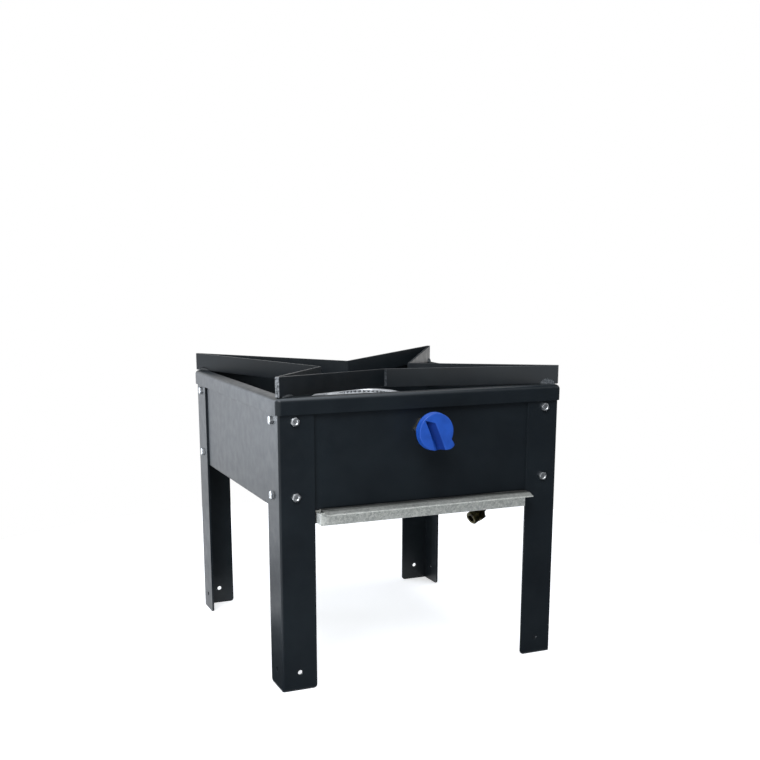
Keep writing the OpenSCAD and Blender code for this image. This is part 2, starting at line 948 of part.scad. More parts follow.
module union_nut() {
    color(brass)
        translate([union_x, inlet_y, valve_z])
            rotate([0, 90, 0])
                difference() {
                    union() {
                        hex_prism(19, union_len - 3);
                        cylinder(h = union_len, d = 16);
                    }
                    translate([0, 0, -1]) cylinder(h = union_len + 2, d = pipe_d + 0.1);
                }
}

module pipe_section() {
    difference() {
        circle(d = pipe_d);
        circle(d = pipe_bore);
    }
}

// a straight length of the pipe, along Z
module pipe_run(len) {
    linear_extrude(len) pipe_section();
}

// a bend of the pipe, which starts at x = r along +Y and turns towards -X
module pipe_bend(r, turn) {
    rotate_extrude(angle = turn)
        translate([r, 0]) pipe_section();
}

// from the union nut to the right, back along the panel and down to the inlet fitting
module supply_pipe() {
    run_x = pipe_x - bend_r;
    run_y = inlet_y + bend_r;
    run_end_y = pipe_y - bend_r;
    color(brass) {
        translate([union_x + 1, inlet_y, valve_z])
            rotate([0, 90, 0])
                pipe_run(run_x - union_x - 1);
        translate([run_x, run_y, valve_z])
            rotate([0, 0, -90])
                pipe_bend(bend_r, 90);
        translate([pipe_x, run_y, valve_z])
            rotate([-90, 0, 0])
                pipe_run(run_end_y - run_y);
        translate([pipe_x, run_end_y, valve_z - bend_r])
            rotate([0, -90, 0])
                pipe_bend(bend_r, 90);
        translate([pipe_x, pipe_y, end_bend_z])
            pipe_run(valve_z - bend_r - end_bend_z);
    }
}

// the stove's gas inlet at the end of the pipe: an elbow, a hexagon and a threaded end
module inlet_fitting() {
    shoulder_h = 2.5;
    hex_h = 8;
    neck_h = 2.5;
    end_z = shoulder_h + hex_h + neck_h + fitting_len;
    color(brass)
        at_elbow() {
            rotate([-90, 0, 0]) pipe_bend(end_bend_r, 90 - fitting_slope);
            rotate([0, 90 - fitting_slope, 0])
                translate([end_bend_r, 0, 0])
                    rotate([180, 0, 0])
                        difference() {
                            union() {
                                translate([0, 0, -1])
                                    cylinder(h = end_z - 1, d = fitting_d - 5);
                                translate([0, 0, shoulder_h]) hex_prism(fitting_af, hex_h);
                                translate([0, 0, end_z - fitting_len])
                                    cylinder(h = fitting_len - 1, d = fitting_d);
                                translate([0, 0, end_z - 1])
                                    cylinder(h = 1, d1 = fitting_d, d2 = fitting_d - 2);
                            }
                            translate([0, 0, -2]) cylinder(h = 2.5, d = pipe_bore + 1);
                            translate([0, 0, -2]) cylinder(h = end_z, d = pipe_bore);
                            translate([0, 0, end_z - fitting_len - neck_h])
                                cylinder(h = end_z, d = fitting_bore);
                        }
        }
}

// puts the elbow's own centre where the pipe ends, turned to the fitting's direction
module at_elbow() {
    translate([pipe_x, pipe_y, end_bend_z])
        rotate([0, 0, fitting_turn])
            translate([-end_bend_r, 0, 0])
                children();
}

// a strap round the upright pipe, with a foot on the right panel
module pipe_clip() {
    clip_h = 10;
    clip_t = 1.5;
    ring_r = pipe_d / 2 + 0.1;
    foot_x = in_w - panel_t;
    color(zinc)
        translate([0, pipe_y, panel_bottom + 24]) {
            difference() {
                union() {
                    translate([pipe_x, 0, 0]) cylinder(h = clip_h, r = ring_r + clip_t);
                    translate([pipe_x, -clip_t / 2, 0])
                        cube([foot_x - pipe_x, clip_t, clip_h]);
                    translate([foot_x - clip_t, -8, 0]) cube([clip_t, 16, clip_h]);
                }
                translate([pipe_x, 0, -1]) cylinder(h = clip_h + 2, r = ring_r);
            }
        }
}

// outer form of the bowl, turned about the burner's axis
module bowl_outside() {
    rotate_extrude()
        polygon([
            [0, bowl_floor], [burner_r * 0.55, bowl_floor], [burner_r * 0.8, bowl_floor + 9],
            [burner_r * 0.95, head_z - 8], [burner_r, head_z - 5], [burner_r, head_z],
            [0, head_z]
        ]);
}

module bowl_inside() {
    w = cast_wall;
    rotate_extrude()
        polygon([
            [0, bowl_floor + w], [burner_r * 0.55 - w / 3, bowl_floor + w],
            [burner_r * 0.8 - w, bowl_floor + 9 + w / 2], [burner_r * 0.95 - w, head_z - 8],
            [burner_r - 2 * w, head_z - 4], [burner_r - 2 * w, head_z + 1], [0, head_z + 1]
        ]);
}

// turns round parts so that they run along the mixing tube
module on_tube() {
    translate([0, 0, valve_z]) children();
}

module burner_bowl() {
    tube_r = tube_d / 2;
    mouth_r = mouth_d / 2;
    neck_y = mouth_y + plate_t + 16;
    color(silver)
        difference() {
            union() {
                difference() {
                    union() {
                        bowl_outside();
                        on_tube() {
                            rod_y(mouth_y, mouth_y + plate_t + 2, mouth_r);
                            rod_y(mouth_y + plate_t + 2, neck_y, mouth_r, tube_r);
                            rod_y(neck_y, -burner_r * 0.7, tube_r);
                        }
                        for (side = [-1, 1]) {
                            translate([side * foot_pitch / 2, 0, foot_z])
                                cylinder(h = bowl_floor - foot_z + 2, d = 20);
                        }
                    }
                    bowl_inside();
                    translate([0, 0, head_z]) cylinder(h = tube_r, r = burner_r + edge_gap);
                    on_tube() {
                        rod_y(mouth_y + plate_t, neck_y, mouth_r - cast_wall,
                            tube_r - cast_wall);
                        rod_y(neck_y - 0.5, -burner_r * 0.5, tube_r - cast_wall);
                    }
                }
                on_tube() rod_y(mouth_y - shutter_t - 2 * shutter_gap - 1, mouth_y + 1, hub_r);
            }
            on_tube() {
                rod_y(mouth_y - 10, mouth_y + plate_t + 1, 6);
                air_holes(mouth_y - 0.5, mouth_y + plate_t + 1, 0);
            }
            for (side = [-1, 1]) {
                translate([side * foot_pitch / 2, 0, foot_z - 1])
                    cylinder(h = screw_depth + 1, d = screw_hole_d);
            }
            translate([0, 0, bowl_floor - 1])
                cylinder(h = 3 * cast_wall, d = screw_hole_d);
        }
}

module air_holes(y0, y1, turn) {
    for (k = [0 : 3]) {
        rotate([0, turn + 45 + 90 * k, 0])
            translate([air_ring_r, 0, 0])
                rod_y(y0, y1, air_hole_d / 2);
    }
}

module air_shutter() {
    back = mouth_y - shutter_gap;
    tab_r = mouth_d / 2;
    color(zinc)
        on_tube()
            difference() {
                union() {
                    rod_y(back - shutter_t, back, tab_r);
                    rotate([0, -90, 0])
                        translate([tab_r - 2, back - shutter_t, -4])
                            cube([10, shutter_t, 8]);
                }
                rod_y(back - shutter_t - 1, back + 1, hub_r + run_gap);
                air_holes(back - shutter_t - 1, back + 1, 0);
            }
}

module shutter_clip() {
    front = mouth_y - shutter_t - 2 * shutter_gap;
    color(zinc)
        on_tube()
            difference() {
                rod_y(front - 1, front, hub_r + 1.8);
                rod_y(front - 2, front + 1, hub_r + run_gap);
                translate([-1.5, front - 2, -mouth_d]) cube([3, 4, mouth_d]);
            }
}

// the cast top: a ported outer ring, a groove and the centre cap with its round well
module burner_head() {
    color(silver)
        difference() {
            union() {
                rotate_extrude() head_section();
                locating_rib();
            }
            for (k = [0 : ring_slots - 1]) {
                rotate([0, 0, 360 * k / ring_slots])
                    translate([ring_in_r - cast_edge, -slot_w / 2, ring_top - slot_depth])
                        cube([ring_w + 2 * cast_edge, slot_w, 2 * slot_depth]);
            }
            for (k = [0 : cap_slots - 1]) {
                rotate([0, 0, 360 * k / cap_slots])
                    translate([cap_r * 0.86, -slot_w / 2, cap_edge_z - slot_depth])
                        cube([cap_r * 0.16, slot_w, slot_depth + cap_crown]);
            }
            for (k = [0 : cap_ports - 1]) {
                rotate([0, 0, 360 * k / cap_ports]) {
                    translate([well_r - cast_edge, -port_w / 2, port_z])
                        cube([port_depth + cast_edge, port_w, port_h]);
                    translate([well_r + port_depth / 2, 0, head_z - cast_edge])
                        cylinder(h = port_z - head_z + 2 * cast_edge, d = port_w * 0.8);
                }
            }
            translate([0, 0, head_z - cast_edge])
                cylinder(h = 2 * ring_h + 2 * cap_crown, d = screw_hole_d);
        }
}

module head_section() {
    c = cast_edge;
    polygon([
        [0, head_z], [burner_r, head_z], [burner_r, ring_top - c],
        [burner_r - c, ring_top], [ring_in_r + c, ring_top],
        [ring_in_r, ring_top - c], [ring_in_r, head_z + head_plate],
        [cap_r - 2 * c, head_z + head_plate], [cap_r, cap_edge_z - 3 * c],
        [cap_r, cap_edge_z - c], [cap_r - c, cap_edge_z],
        [cap_r * 0.9, cap_top - c], [cap_r * 0.84, cap_top],
        [well_r + c, cap_top], [well_r, cap_top - c], [well_r, well_z], [0, well_z]
    ]);
}

// the ring under the head that drops into the bowl
module locating_rib() {
    rib_r = burner_r - 2 * cast_wall - hole_gap;
    translate([0, 0, head_z - ring_h])
        difference() {
            cylinder(h = ring_h + cast_edge, r = rib_r);
            translate([0, 0, -1]) cylinder(h = ring_h + 2, r = rib_r - head_plate);
        }
}

module head_screw() {
    color(zinc) {
        translate([0, 0, bowl_floor])
            cylinder(h = well_z - bowl_floor + bolt_head_h / 2, d = bolt_d);
        translate([0, 0, well_z]) hex_prism(bolt_af, bolt_head_h);
    }
}

module cross_bar() {
    end_x = in_w - panel_t;
    color(steel_black)
        difference() {
            union() {
                translate([-end_x, -cross_w / 2, foot_z - cross_t])
                    cube([2 * end_x, cross_w, cross_t]);
                for (side = [0, 1]) {
                    mirror([side, 0, 0])
                        translate([end_x - cross_t, -cross_w / 2, foot_z - cross_t])
                            cube([cross_t, cross_w, cross_end_h]);
                }
            }
            for (side = [-1, 1]) {
                translate([side * foot_pitch / 2, 0, foot_z - cross_t - 1])
                    cylinder(h = cross_t + 2, d = hole_d);
            }
        }
}

module burner_screws() {
    color(zinc)
        for (side = [-1, 1]) {
            translate([side * foot_pitch / 2, 0, foot_z - cross_t]) {
                translate([0, 0, -bolt_head_h]) hex_prism(bolt_af, bolt_head_h);
                cylinder(h = cross_t + screw_depth - 0.5, d = bolt_d);
            }
        }
}

leg_front_left();
leg_front_right();
leg_rear_left();
leg_rear_right();
front_panel();
rear_panel();
left_panel();
right_panel();
top_rim();
star_bar_front_left();
star_bar_front_right();
star_bar_rear_left();
star_bar_rear_right();
star_bar_left_front();
star_bar_left_rear();
star_bar_right_front();
star_bar_right_rear();
star_welds();
rim_welds();
corner_bolts();
corner_nuts();
drip_tray();
runner_left();
runner_right();
runner_rivets();
knob();
valve_stem();
valve_body();
valve_locknut();
injector();
union_nut();
supply_pipe();
inlet_fitting();
pipe_clip();
burner_bowl();
burner_head();
head_screw();
air_shutter();
shutter_clip();
cross_bar();
burner_screws();
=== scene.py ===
import json
import math

import bmesh
import bpy
import numpy as np
from mathutils import Matrix, Vector


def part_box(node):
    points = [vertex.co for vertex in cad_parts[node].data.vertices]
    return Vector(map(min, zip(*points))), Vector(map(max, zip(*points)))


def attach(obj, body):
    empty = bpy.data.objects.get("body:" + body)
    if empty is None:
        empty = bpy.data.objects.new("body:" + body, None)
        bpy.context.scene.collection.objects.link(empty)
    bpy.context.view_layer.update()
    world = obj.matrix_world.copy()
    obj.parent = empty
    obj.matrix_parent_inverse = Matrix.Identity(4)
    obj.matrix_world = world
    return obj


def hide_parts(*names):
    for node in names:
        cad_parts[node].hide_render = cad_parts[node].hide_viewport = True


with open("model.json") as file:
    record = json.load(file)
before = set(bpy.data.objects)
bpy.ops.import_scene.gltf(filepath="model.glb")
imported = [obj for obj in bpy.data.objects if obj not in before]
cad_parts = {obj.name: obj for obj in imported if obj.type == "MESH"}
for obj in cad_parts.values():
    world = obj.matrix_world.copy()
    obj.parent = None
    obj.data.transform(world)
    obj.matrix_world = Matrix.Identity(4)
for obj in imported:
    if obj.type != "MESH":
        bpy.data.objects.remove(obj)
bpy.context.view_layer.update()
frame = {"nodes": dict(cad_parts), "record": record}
MM = 0.001
rng = np.random.default_rng(7)

# Sizes that the CAD gives, in mm
VALVE_Z = 332.0
KNOB_FACE_Y = -235.0
KNOB_DEPTH = 11.5
KNOB_R = 24.5
HUB_R = 10.0
HUB_LEN = 18.0
STEM_BORE_R = 4.05
BOLT_AF = 10.0
BOLT_HEAD = 4.0
BOLT_R = 3.0
BOLT_PITCH = 1.0
BOLT_END = 2.0
BOLT_IN_FRONT = 21.5
BOLT_IN_SIDE = 26.0
BOLT_ZS = (256.0, 351.0)
NUT_H = 5.0
LEG_T = 3.0
PANEL_T = 1.2
HALF_W = 200.0
HALF_D = 201.5
RIM_TOP = 380.5
TRAY_FOLD_Y = -202.2

# The knob's face, in mm: u runs along the finger groove to its open end, v across it
KNOB_TURN = math.radians(-67)
NOSE_TURN = math.radians(-38)
NOSE_SWELL = 0.33
GROOVE_DEPTH = 6.5
GROOVE_RIGHT, GROOVE_LEFT, GROOVE_END = 3.1, -9.3, -11.3
END_WALL_COS, END_WALL_SIN = 0.783, 0.623
CROWN = 0.6


# ---------------------------------------------------------------- materials

def colour(code):
    """The linear value of an sRGB hex colour."""
    parts = [int(code[i:i + 2], 16) / 255 for i in (1, 3, 5)]
    return tuple(c / 12.92 if c <= 0.04045 else ((c + 0.055) / 1.055) ** 2.4
                 for c in parts) + (1.0,)


def grey(v):
    """A neutral colour, or a plain number that goes through a colour ramp."""
    return (v, v, v, 1.0)


def wire(tree, node, links):
    """A node's inputs get their values, sockets or other nodes, whose first output is meant."""
    for key, value in links.items():
        if isinstance(value, bpy.types.Node):
            value = value.outputs[0]
        if isinstance(value, bpy.types.NodeSocket):
            tree.links.new(value, node.inputs[key])
        else:
            node.inputs[key].default_value = value


def add(tree, kind, links=None, stops=(), **settings):
    """A shader node with its settings and inputs, and a ramp's (place, colour) stops."""
    made = tree.nodes.new("ShaderNode" + kind)
    for key, value in settings.items():
        setattr(made, key, value)
    if stops:
        band = made.color_ramp.elements
        while len(band) < len(stops):
            band.new(0.5)
        for element, (place, value) in zip(band, stops):
            element.position, element.color = place, value
    wire(tree, made, links or {})
    return made


def start(name, **shader):
    """A new material: the tree, its main shader with those values, and Object coordinates."""
    mat = bpy.data.materials.new(name)
    mat.use_nodes = True
    tree = mat.node_tree
    main = tree.nodes["Principled BSDF"]
    wire(tree, main, {key.replace("_", " "): value for key, value in shader.items()})
    return mat, tree, main, add(tree, "TexCoord").outputs["Object"]


def patches(size_mm):
    """The scale of a pattern whose patches are about that wide."""
    return 1 / (size_mm * MM)


# where the rim's front fold gets its painted highlight: an axis, where the highlight begins and
# where it is full, in m
FOLD_HIGHLIGHT_SPAN = (("Z", 0.3768, 0.3785), ("Z", 0.3803, 0.3797), ("X", 0.12, -0.2))
FOLD_BACK_Y = -0.199
# how far to the front left the rubbed tip begins and is bare: the sum of -x and -y, in m
TIP_WEAR = (0.3980, 0.3988)


def powder_coat(name, wear_or_highlight=None):
    """Black powder coat on steel: satin, with a slight orange peel and soft cloudy patches.
    On the pot support's front left tip, pans have scuffed it through to grey steel, and along
    the rim's front fold a lighter grey is painted in as the fold's highlight, brightest at the
    left. The support's bars have a little more gloss."""
    mat, tree, main, where = start(name, IOR=1.45 if wear_or_highlight == "tip" else 1.36)
    cloud = add(tree, "TexNoise", {"Vector": where, "Scale": patches(60), "Detail": 3.0})
    coat = add(tree, "ValToRGB", {"Fac": cloud},
               [(0.3, colour("#171c20")), (0.7, colour("#1c2226"))]).outputs[0]
    # painted highlight: the rim's front fold turns lighter grey, strongest at the left
    if wear_or_highlight == "fold":
        place = add(tree, "SeparateXYZ", {0: where}).outputs
        part = add(tree, "Math", {0: place["Y"], 1: FOLD_BACK_Y}, operation="LESS_THAN")
        for axis, none, full in FOLD_HIGHLIGHT_SPAN:
            share = add(tree, "MapRange", {"Value": place[axis], "From Min": none,
                                           "From Max": full})
            part = add(tree, "Math", {0: part, 1: share}, operation="MULTIPLY")
        coat = add(tree, "Mix", {0: part, 6: coat, 7: colour("#4e5255")},
                   data_type="RGBA").outputs[2]
    if wear_or_highlight == "tip":
        outward = add(tree, "VectorMath", {0: where, 1: (-1.0, -1.0, 0.0)},
                      operation="DOT_PRODUCT").outputs["Value"]
        end = add(tree, "MapRange", {"Value": outward, "From Min": TIP_WEAR[0],
                                     "From Max": TIP_WEAR[1]})
        scratch = add(tree, "TexNoise", {"Vector": where, "Scale": patches(3), "Detail": 3.0,
                                         "Roughness": 0.6})
        scuff = add(tree, "ValToRGB", {"Fac": scratch},
                    [(0.36, colour("#34383b")), (0.66, colour("#9b9ea0"))])
        coat = add(tree, "Mix", {0: end, 6: coat, 7: scuff}, data_type="RGBA").outputs[2]
    satin = add(tree, "TexNoise", {"Vector": where, "Scale": patches(14), "Detail": 3.0})
    peel = add(tree, "TexNoise", {"Vector": where, "Scale": patches(1.6)})
    wire(tree, main, {
        "Base Color": coat,
        "Roughness": add(tree, "ValToRGB", {"Fac": satin}, [(0.3, grey(0.33)), (0.7, grey(0.42))]),
        "Normal": add(tree, "Bump", {"Height": peel, "Strength": 0.03, "Distance": 0.06 * MM})})
    return mat


# the lip's painted shade, broken by streaks of wear, from its nose to its fold, and the places of
# both and of its upper side, in m
LIP_SHADE_AND_WEAR = [(0.03, grey(0.0)), (0.1, grey(0.5)), (0.42, grey(0.56)), (0.5, grey(0.8)),
            (0.78, grey(0.86)), (0.86, grey(1.0))]
LIP_NOSE_Y, LIP_FOLD_Y, LIP_UPPER_Z = -0.2235, -0.2025, 0.2333


def galvanised():
    """Galvanised sheet: pale grey zinc whose small crystals differ a little in shade and gloss.
    The lip's upper side carries painted shade, darkest at the fold under the black panel, in long
    streaks."""
    mat, tree, main, where = start("galvanised_sheet", Metallic=0.3)
    warp = add(tree, "TexNoise", {"Vector": where, "Scale": patches(5)}).outputs["Color"]
    warp = add(tree, "VectorMath", {0: warp, 1: (0.5, 0.5, 0.5)}, operation="SUBTRACT")
    warp = add(tree, "VectorMath", {0: warp, "Scale": 3 * MM}, operation="SCALE")
    moved = add(tree, "VectorMath", {0: where, 1: warp}, operation="ADD")
    cells = add(tree, "TexVoronoi", {"Vector": moved, "Scale": patches(2.4)}).outputs["Color"]
    shade = add(tree, "SeparateColor", {"Color": cells}).outputs
    fine = add(tree, "TexNoise", {"Vector": where, "Scale": patches(1.3), "Detail": 3.0,
                                  "Roughness": 0.6})
    crystals = add(tree, "Mix", {"Factor": 0.5, "A": shade["Red"], "B": fine}, data_type="FLOAT")
    zinc = add(tree, "ValToRGB", {"Fac": crystals},
               [(0.2, colour("#bcbfb8")), (0.5, colour("#d6d8d0")), (0.8, colour("#edeee6"))])

    # painted shade and reflection of the black panel on the lip's upper side, darkest at the fold,
    # in streaks along it
    place = add(tree, "SeparateXYZ", {0: where}).outputs
    back = add(tree, "MapRange", {"Value": place["Y"], "From Min": LIP_NOSE_Y,
                                  "From Max": LIP_FOLD_Y})
    lip_shade_and_wear = add(tree, "ValToRGB", {"Fac": back}, LIP_SHADE_AND_WEAR)
    along = add(tree, "Mapping", {"Vector": where, "Scale": (0.03, 1.0, 1.0)})
    streak = add(tree, "TexNoise", {"Vector": along, "Scale": patches(1.6)})
    streak = add(tree, "Math", {0: streak, 1: -0.5}, operation="ADD")
    lip_shade_and_wear = add(tree, "Math", {0: streak, 1: 0.7, 2: lip_shade_and_wear}, operation="MULTIPLY_ADD", use_clamp=True)
    upper = add(tree, "Math", {0: place["Z"], 1: LIP_UPPER_Z}, operation="GREATER_THAN")
    lip_shade_and_wear = add(tree, "Math", {0: lip_shade_and_wear, 1: upper}, operation="MULTIPLY")
    wire(tree, main, {
        "Base Color": add(tree, "Mix", {0: lip_shade_and_wear, 6: zinc, 7: colour("#1d1f1e")},
                          data_type="RGBA").outputs[2],
        "Roughness": add(tree, "ValToRGB", {"Fac": shade["Green"]},
                         [(0.0, grey(0.42)), (1.0, grey(0.58))]),
        "Normal": add(tree, "Bump", {"Height": crystals, "Strength": 0.2, "Distance": 0.04 * MM})})
    return mat


def zinc_plate():
    """Bright zinc plate on pressed steel: silver with a cool cast and tiny dull specks, which
    are drawn coarser than real ones so that they show."""
    mat, tree, main, where = start("bright_zinc_plate", Metallic=0.88)
    speck = add(tree, "TexNoise", {"Vector": where, "Scale": patches(2), "Detail": 4.0,
                                   "Roughness": 0.6})
    wire(tree, main, {
        "Base Color": add(tree, "ValToRGB", {"Fac": speck},
                          [(0.3, colour("#b6babd")), (0.7, colour("#dfe2e4"))]),
        "Roughness": add(tree, "ValToRGB", {"Fac": speck}, [(0.3, grey(0.36)), (0.75, grey(0.26))]),
        "Normal": add(tree, "Bump", {"Height": speck, "Strength": 0.1, "Distance": 0.05 * MM})})
    return mat


def turned_brass(name, dark, light, patch_mm=9):
    """Brass that has been turned and handled: tarnish in patches between two shades, and tool marks
    as a faint grain, coarser than real ones so that it shows; on the locknut the small pale patches
    are painted glints."""
    mat, tree, main, where = start(name, Metallic=1.0)
    patch = add(tree, "TexNoise", {"Vector": where, "Scale": patches(patch_mm), "Detail": 5.0,
                                   "Roughness": 0.65})
    marks = add(tree, "TexNoise", {"Vector": where, "Scale": patches(0.8)})
    wire(tree, main, {
        "Base Color": add(tree, "ValToRGB", {"Fac": patch},
                          [(0.35, colour(dark)), (0.65, colour(light))]),
        "Roughness": add(tree, "ValToRGB", {"Fac": patch}, [(0.35, grey(0.5)), (0.7, grey(0.24))]),
        "Normal": add(tree, "Bump", {"Height": marks, "Strength": 0.1, "Distance": 0.05 * MM})})
    return mat


def cast_aluminium():
    """Sand-cast aluminium: pale grey with a grainy skin and brighter high spots. The grain is
    drawn coarser than the sand's, so that it shows."""
    mat, tree, main, where = start("cast_aluminium", Metallic=0.6)
    grain = add(tree, "TexNoise", {"Vector": where, "Scale": patches(1.4), "Detail": 4.0,
                                   "Roughness": 0.7})
    cloud = add(tree, "TexNoise", {"Vector": where, "Scale": patches(22), "Detail": 3.0})
    skin = add(tree, "Mix", {"Factor": 0.5, "A": grain, "B": cloud}, data_type="FLOAT")
    wire(tree, main, {
        "Base Color": add(tree, "ValToRGB", {"Fac": skin},
                          [(0.3, colour("#b4b6b8")), (0.7, colour("#e2e4e6"))]),
        "Roughness": add(tree, "ValToRGB", {"Fac": grain}, [(0.3, grey(0.5)), (0.7, grey(0.36))]),
        "Normal": add(tree, "Bump", {"Height": grain, "Strength": 0.35, "Distance": 0.12 * MM})})
    return mat


def blue_plastic():
    """Moulded ABS in blue: a soft gloss and the mould's faint grain, coarser than a real one so
    that it shows. The finger groove gets a painted shade: darker blue and less gloss."""
    mat, tree, main, where = start("blue_moulded_abs", IOR=1.5)
    cloud = add(tree, "TexNoise", {"Vector": where, "Scale": patches(12), "Detail": 3.0})
    face = add(tree, "ValToRGB", {"Fac": cloud},
               [(0.3, colour("#194aa5")), (0.7, colour("#1f54b5"))])
    # the groove attribute is the painted shade of the finger groove
    deep = add(tree, "Attribute", attribute_name="groove").outputs["Fac"]
    grain = add(tree, "TexNoise", {"Vector": where, "Scale": patches(0.9)})
    wire(tree, main, {
        "Base Color": add(tree, "Mix", {0: deep, 6: face, 7: colour("#0f2f78")},
                          data_type="RGBA").outputs[2],
        "Specular IOR Level": add(tree, "Math", {0: deep, 1: -0.42, 2: 0.5},
                                  operation="MULTIPLY_ADD"),
        "Roughness": add(tree, "ValToRGB", {"Fac": grain}, [(0.3, grey(0.34)), (0.7, grey(0.42))]),
        "Normal": add(tree, "Bump", {"Height": grain, "Strength": 0.08, "Distance": 0.04 * MM})})
    return mat


def coated_weld():
    """Powder coat over weld ripples, with lighter grey patches spread by noise. At the left these
    give way to plain black coat, from 100 to 150 mm off the middle on."""
    mat, tree, main, where = start("coated_weld", IOR=1.4, Roughness=0.42)
    patch = add(tree, "TexNoise", {"Vector": where, "Scale": patches(2.4), "Detail": 4.0,
                                   "Roughness": 0.65})
    bare = add(tree, "ValToRGB", {"Fac": patch},
               [(0.32, colour("#2a2e31")), (0.52, colour("#474b4e")), (0.72, colour("#6f7275"))])
    side = add(tree, "SeparateXYZ", {0: where}).outputs["X"]
    left = add(tree, "MapRange", {"Value": side, "From Min": -0.10, "From Max": -0.15})
    wire(tree, main, {
        "Base Color": add(tree, "Mix", {0: left, 6: bare, 7: colour("#1e2225")},
                          data_type="RGBA").outputs[2],
        "Normal": add(tree, "Bump", {"Height": patch, "Strength": 0.3, "Distance": 0.15 * MM})})
    return mat


FINISH = {
    "black": powder_coat("black_powder_coated_steel"),
    "galvanised": galvanised(),
    "zinc": zinc_plate(),
    "brass": turned_brass("turned_brass", "#8a6a34", "#c9a45c"),
    "aluminium": cast_aluminium(),
    "blue": blue_plastic(),
}
# the locknut's brass: dark, with small pale patches that are painted glints
BRASS_PAINTED_GLINTS = turned_brass("brass_painted_glints", "#2b2a22", "#f4ecd2", 4)
TARNISHED = turned_brass("tarnished_brass", "#33312a", "#868058")
WELD = coated_weld()
RUBBED = powder_coat("rubbed_powder_coated_steel", "tip")
# the rim's coat, with a painted highlight along its front fold
PAINTED_FOLD_HIGHLIGHT = powder_coat("powder_coat_painted_fold_highlight", "fold")


# ---------------------------------------------------------------- meshes

# Each node's material slot and body, from the record
SLOT = {s["node"]: s["material_slot"] for s in frame["record"]["subparts"]}
BODY = {n: b for b, members in frame["record"]["behaviour"]["bodies"].items() for n in members}


def stand(name, data):
    """A new object in the scene."""
    made = bpy.data.objects.new(name, data)
    bpy.context.scene.collection.objects.link(made)
    return made


def put(name, mesh, node, mat=None):
    """A piece made from a mesh: it stands for the node, rides with it and takes its slot."""
    piece = stand(name, mesh)
    mesh.materials.clear()
    mesh.materials.append(mat or FINISH[SLOT[node]])
    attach(piece, BODY[node])
    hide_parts(node)
    return piece


def softened(node, edge, angle=32, mat=None):
    """A copy of the node's own mesh, joined up, with its sharp edges rounded off by edge mm."""
    mesh = frame["nodes"][node].data.copy()
    bm = bmesh.new()
    bm.from_mesh(mesh)
    bmesh.ops.remove_doubles(bm, verts=bm.verts, dist=2e-6)
    bmesh.ops.dissolve_limit(bm, angle_limit=math.radians(0.4), verts=bm.verts, edges=bm.edges)
    for face in bm.faces:
        face.smooth = True
    bm.to_mesh(mesh)
    bm.free()
    piece = put(node + "_finish", mesh, node, mat)
    if edge:
        cut = piece.modifiers.new("edges", "BEVEL")
        cut.width = edge * MM
        cut.segments = 2
        cut.limit_method = "ANGLE"
        cut.angle_limit = math.radians(angle)
        cut.use_clamp_overlap = True
    else:
        mesh.set_sharp_from_angle(angle=math.radians(angle))
    flat = piece.modifiers.new("flats", "WEIGHTED_NORMAL")
    flat.keep_sharp = True
    flat.weight = 80
    return piece


def grid_mesh(name, sheets, sharp=32):
    """One mesh from closed grids of points in mm; each is (points[rows, columns, 3], wrap)."""
    verts, faces, base = [], [], 0
    for points, wrap in sheets:
        rows, cols = points.shape[:2]
        index = base + np.arange(rows * cols).reshape(rows, cols)
        across = np.concatenate([index, index[:, :1]], 1) if wrap else index
        quads = np.stack([across[:-1, :-1], across[:-1, 1:], across[1:, 1:], across[1:, :-1]], -1)
        verts.append(points.reshape(-1, 3))
        faces.append(quads.reshape(-1, 4))
        base += rows * cols
    verts = np.concatenate(verts) * MM
    faces = np.concatenate(faces)
    mesh = bpy.data.meshes.new(name)
    mesh.from_pydata(verts.tolist(), [], faces.tolist())
    bm = bmesh.new()
    bm.from_mesh(mesh)
    bmesh.ops.remove_doubles(bm, verts=bm.verts, dist=1e-6)
    bmesh.ops.dissolve_degenerate(bm, dist=1e-7, edges=bm.edges)
    bmesh.ops.recalc_face_normals(bm, faces=bm.faces)
    for face in bm.faces:
        face.smooth = True
    bm.to_mesh(mesh)
    bm.free()
    mesh.set_sharp_from_angle(angle=math.radians(sharp))
    return mesh


def rings(angle, places):
    """A form about the z axis: a ring for each (radius, height), one number or one per angle."""
    places = [(radius + 0 * angle, height + 0 * angle) for radius, height in places]
    return np.stack([np.stack([radius * np.cos(angle), radius * np.sin(angle), height], -1)
                     for radius, height in places])


def turned(radii, heights, around=48):
    """A turned form: each ring is a circle with its radius, at its height."""
    return rings(np.linspace(0, 2 * np.pi, around, endpoint=False), zip(radii, heights))


# A head's top: its radius over the size across flats, and its dish, each ring a share of that
# radius and a depth in mm
HEAD_TOP = 0.41
HEAD_DISH = ((1.0, 0.0), (0.82, 0.0), (0.6, 0.8), (0.0, 0.95))


def hex_head(af, height):
    """A pressed hexagon head, or a nut: a hexagonal side, a cone that trims its corners and a
    dished top. The side reaches half of af over the cosine of the angle from the nearest
    flat's middle, and ends half a millimetre lower for each millimetre beyond the top's ring."""
    angle = np.linspace(0, 2 * np.pi, 72, endpoint=False)
    reach = af / 2 / np.cos((angle + np.pi / 6) % (np.pi / 3) - np.pi / 6)
    top = af * HEAD_TOP
    side = [(0.0, 0.0), (reach, 0.0), (reach, height - (reach - top) * 0.5)]
    return rings(angle, side + [(top * share, height - deep) for share, deep in HEAD_DISH])


def threaded(radius, pitch, low, high):
    """A bolt's shank: from its crest the radius falls by 0.55 of the pitch and rises again,
    straight both ways, once per pitch, with four rings to a pitch."""
    z = np.linspace(low, high, int((high - low) / pitch * 4) + 1)
    wave = np.abs(((z / pitch) % 1) * 2 - 1)
    radii = radius - 0.55 * pitch * wave * (z > low) * (z < high)
    return turned([0, *radii, 0], [low, *z, high], 24)


